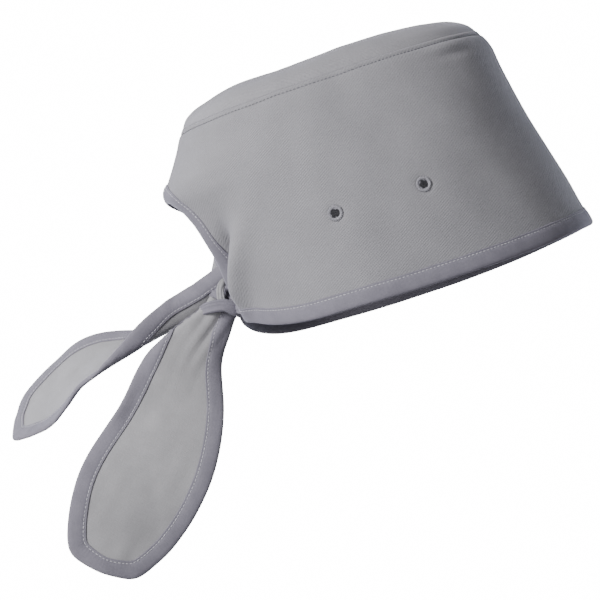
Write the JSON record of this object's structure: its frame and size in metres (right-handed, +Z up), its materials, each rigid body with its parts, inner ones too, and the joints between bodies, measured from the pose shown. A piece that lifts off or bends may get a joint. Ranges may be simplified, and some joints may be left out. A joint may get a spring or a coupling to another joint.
{
  "type": "chef skull cap",
  "caption": "Grey twill cook's skull cap as worn: tall side wall, domed oval top, contrast-bound rim and back arch, embroidered vent eyelets and leaf-shaped ties knotted at the nape.",
  "frame": {"origin": "middle of the head opening, where the cap sits round the head", "axes": "+Z up as worn on a level head, +X to the front of the cap, +Y to the wearer's left"},
  "size_m": [0.3028, 0.174, 0.2931],
  "materials": {
    "grey_twill": "matt woven twill",
    "contrast_tape": "matt bias tape",
    "eyelet_thread": "embroidery thread"
  },
  "bodies": {
    "root": {"side_panel": "grey_twill", "top_panel": "grey_twill", "rim_binding": "contrast_tape", "arch_binding": "contrast_tape", "eyelet_right_front": "eyelet_thread", "eyelet_right_rear": "eyelet_thread", "eyelet_left_front": "eyelet_thread", "eyelet_left_rear": "eyelet_thread", "tie_knot": "contrast_tape", "tie_right": "grey_twill", "tie_right_binding": "contrast_tape", "tie_left": "grey_twill", "tie_left_binding": "contrast_tape"}
  },
  "joints": []
}
